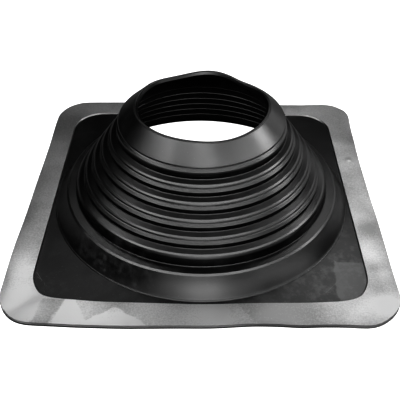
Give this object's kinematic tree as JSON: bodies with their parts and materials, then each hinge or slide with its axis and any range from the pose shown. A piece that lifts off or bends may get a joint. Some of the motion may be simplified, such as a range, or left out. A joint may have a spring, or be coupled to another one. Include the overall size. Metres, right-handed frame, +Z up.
{
  "type": "pipe flashing boot",
  "caption": "Stepped rubber cone with an open lip on a square flange edged with a soft aluminium rim, which seals a round pipe where it passes through a roof.",
  "frame": {"origin": "bottom centre of the flange, on the axis of the pipe", "axes": "+Z up the axis of the pipe, out of the lip; +X and +Y square to the sides of the flange, with -Y the front"},
  "size_m": [0.45, 0.45, 0.1452],
  "materials": {
    "rubber": "satin moulded",
    "aluminium": "soft mill finish, slightly dented"
  },
  "bodies": {
    "root": {"rubber_boot": "rubber", "aluminium_rim": "aluminium"}
  },
  "joints": []
}
